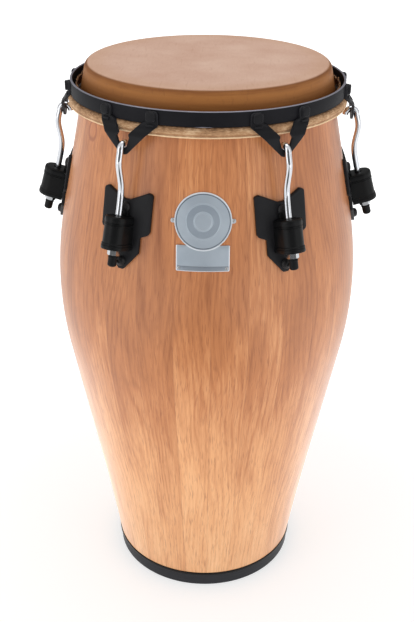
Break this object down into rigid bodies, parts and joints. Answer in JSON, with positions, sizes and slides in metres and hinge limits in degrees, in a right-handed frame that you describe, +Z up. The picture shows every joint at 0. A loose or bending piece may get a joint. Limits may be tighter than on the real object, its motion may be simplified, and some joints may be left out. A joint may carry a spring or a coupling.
{
  "type": "conga drum",
  "caption": "Tall barrel hand drum of wooden staves with a rawhide head, hook-tensioned rim, side plates, open foot.",
  "frame": {"origin": "middle of the foot on the floor, under the drum's axis", "axes": "+Z up the drum's axis to the playing surface, badge facing -Y, a tuning station at +X"},
  "size_m": [0.4618, 0.4122, 0.764],
  "materials": {
    "stave_wood": "clear satin lacquer over reddish tan staves",
    "foot_rubber": "black rubber",
    "rawhide": "tan hide, matt",
    "tucked_rawhide": "rough trimmed hide",
    "hoop_steel": "plain round steel",
    "rim_black": "black powder coat, satin",
    "bracket_black": "black powder coat, satin",
    "rod_chrome": "polished chrome",
    "nut_chrome": "chrome",
    "cap_black": "black rubber",
    "plate_black": "black powder coat",
    "block_black": "black moulded, satin",
    "bolt_black": "black oxide",
    "badge_metal": "satin aluminium",
    "pin_metal": "bright steel"
  },
  "bodies": {
    "drum": {"shell": "stave_wood", "foot_ring": "foot_rubber", "head_skin": "rawhide", "badge": "badge_metal", "badge_pin_1": "pin_metal", "badge_pin_2": "pin_metal", "badge_pin_3": "pin_metal", "badge_pin_4": "pin_metal", "lug_block_1": "block_black", "side_plate_1": "plate_black", "upper_bolt_1": "bolt_black", "lower_bolt_1": "bolt_black", "lug_block_2": "block_black", "side_plate_2": "plate_black", "upper_bolt_2": "bolt_black", "lower_bolt_2": "bolt_black", "lug_block_3": "block_black", "side_plate_3": "plate_black", "upper_bolt_3": "bolt_black", "lower_bolt_3": "bolt_black", "lug_block_4": "block_black", "side_plate_4": "plate_black", "upper_bolt_4": "bolt_black", "lower_bolt_4": "bolt_black", "lug_block_5": "block_black", "side_plate_5": "plate_black", "upper_bolt_5": "bolt_black", "lower_bolt_5": "bolt_black", "lug_block_6": "block_black", "side_plate_6": "plate_black", "upper_bolt_6": "bolt_black", "lower_bolt_6": "bolt_black"},
    "rim": {"rim": "rim_black", "skin_tuck": "tucked_rawhide", "flesh_hoop": "hoop_steel", "rim_bracket_1": "bracket_black", "rim_bracket_2": "bracket_black", "rim_bracket_3": "bracket_black", "rim_bracket_4": "bracket_black", "rim_bracket_5": "bracket_black", "rim_bracket_6": "bracket_black"},
    "hook_1": {"tuning_hook_1": "rod_chrome", "thread_cap_1": "cap_black"},
    "nut_1": {"tuning_nut_1": "nut_chrome"},
    "hook_2": {"tuning_hook_2": "rod_chrome", "thread_cap_2": "cap_black"},
    "nut_2": {"tuning_nut_2": "nut_chrome"},
    "hook_3": {"tuning_hook_3": "rod_chrome", "thread_cap_3": "cap_black"},
    "nut_3": {"tuning_nut_3": "nut_chrome"},
    "hook_4": {"tuning_hook_4": "rod_chrome", "thread_cap_4": "cap_black"},
    "nut_4": {"tuning_nut_4": "nut_chrome"},
    "hook_5": {"tuning_hook_5": "rod_chrome", "thread_cap_5": "cap_black"},
    "nut_5": {"tuning_nut_5": "nut_chrome"},
    "hook_6": {"tuning_hook_6": "rod_chrome", "thread_cap_6": "cap_black"},
    "nut_6": {"tuning_nut_6": "nut_chrome"}
  },
  "joints": [
    {"name": "rim_tension", "type": "slide", "parent": "drum", "child": "rim", "axis": [0, 0, 1], "range_m": [-0.006, 0]},
    {"name": "hook_1_draw", "type": "slide", "parent": "drum", "child": "hook_1", "axis": [0.142, -0.246, -0.9588], "range_m": [0, 0.0063]},
    {"name": "nut_1_turn", "type": "hinge", "parent": "drum", "child": "nut_1", "pos_m": [0.10156, -0.17591, 0.616], "axis": [-0.142, 0.246, 0.9588], "range_deg": [0, 1810]},
    {"name": "hook_2_draw", "type": "slide", "parent": "drum", "child": "hook_2", "axis": [0.284, 0, -0.9588], "range_m": [0, 0.0063]},
    {"name": "nut_2_turn", "type": "hinge", "parent": "drum", "child": "nut_2", "pos_m": [0.20312, 0, 0.616], "axis": [-0.284, 0, 0.9588], "range_deg": [0, 1810]},
    {"name": "hook_3_draw", "type": "slide", "parent": "drum", "child": "hook_3", "axis": [0.142, 0.246, -0.9588], "range_m": [0, 0.0063]},
    {"name": "nut_3_turn", "type": "hinge", "parent": "drum", "child": "nut_3", "pos_m": [0.10156, 0.17591, 0.616], "axis": [-0.142, -0.246, 0.9588], "range_deg": [0, 1810]},
    {"name": "hook_4_draw", "type": "slide", "parent": "drum", "child": "hook_4", "axis": [-0.142, 0.246, -0.9588], "range_m": [0, 0.0063]},
    {"name": "nut_4_turn", "type": "hinge", "parent": "drum", "child": "nut_4", "pos_m": [-0.10156, 0.17591, 0.616], "axis": [0.142, -0.246, 0.9588], "range_deg": [0, 1810]},
    {"name": "hook_5_draw", "type": "slide", "parent": "drum", "child": "hook_5", "axis": [-0.284, 0, -0.9588], "range_m": [0, 0.0063]},
    {"name": "nut_5_turn", "type": "hinge", "parent": "drum", "child": "nut_5", "pos_m": [-0.20312, 0, 0.616], "axis": [0.284, 0, 0.9588], "range_deg": [0, 1810]},
    {"name": "hook_6_draw", "type": "slide", "parent": "drum", "child": "hook_6", "axis": [-0.142, -0.246, -0.9588], "range_m": [0, 0.0063]},
    {"name": "nut_6_turn", "type": "hinge", "parent": "drum", "child": "nut_6", "pos_m": [-0.10156, -0.17591, 0.616], "axis": [0.142, 0.246, 0.9588], "range_deg": [0, 1810]}
  ],
  "couplings": [
    {"joint": "hook_1_draw", "follows": "rim_tension", "ratio": -1.0429},
    {"joint": "nut_1_turn", "follows": "rim_tension", "rad_per_m": -5242.4},
    {"joint": "hook_2_draw", "follows": "rim_tension", "ratio": -1.0429},
    {"joint": "nut_2_turn", "follows": "rim_tension", "rad_per_m": -5242.4},
    {"joint": "hook_3_draw", "follows": "rim_tension", "ratio": -1.0429},
    {"joint": "nut_3_turn", "follows": "rim_tension", "rad_per_m": -5242.4},
    {"joint": "hook_4_draw", "follows": "rim_tension", "ratio": -1.0429},
    {"joint": "nut_4_turn", "follows": "rim_tension", "rad_per_m": -5242.4},
    {"joint": "hook_5_draw", "follows": "rim_tension", "ratio": -1.0429},
    {"joint": "nut_5_turn", "follows": "rim_tension", "rad_per_m": -5242.4},
    {"joint": "hook_6_draw", "follows": "rim_tension", "ratio": -1.0429},
    {"joint": "nut_6_turn", "follows": "rim_tension", "rad_per_m": -5242.4}
  ]
}
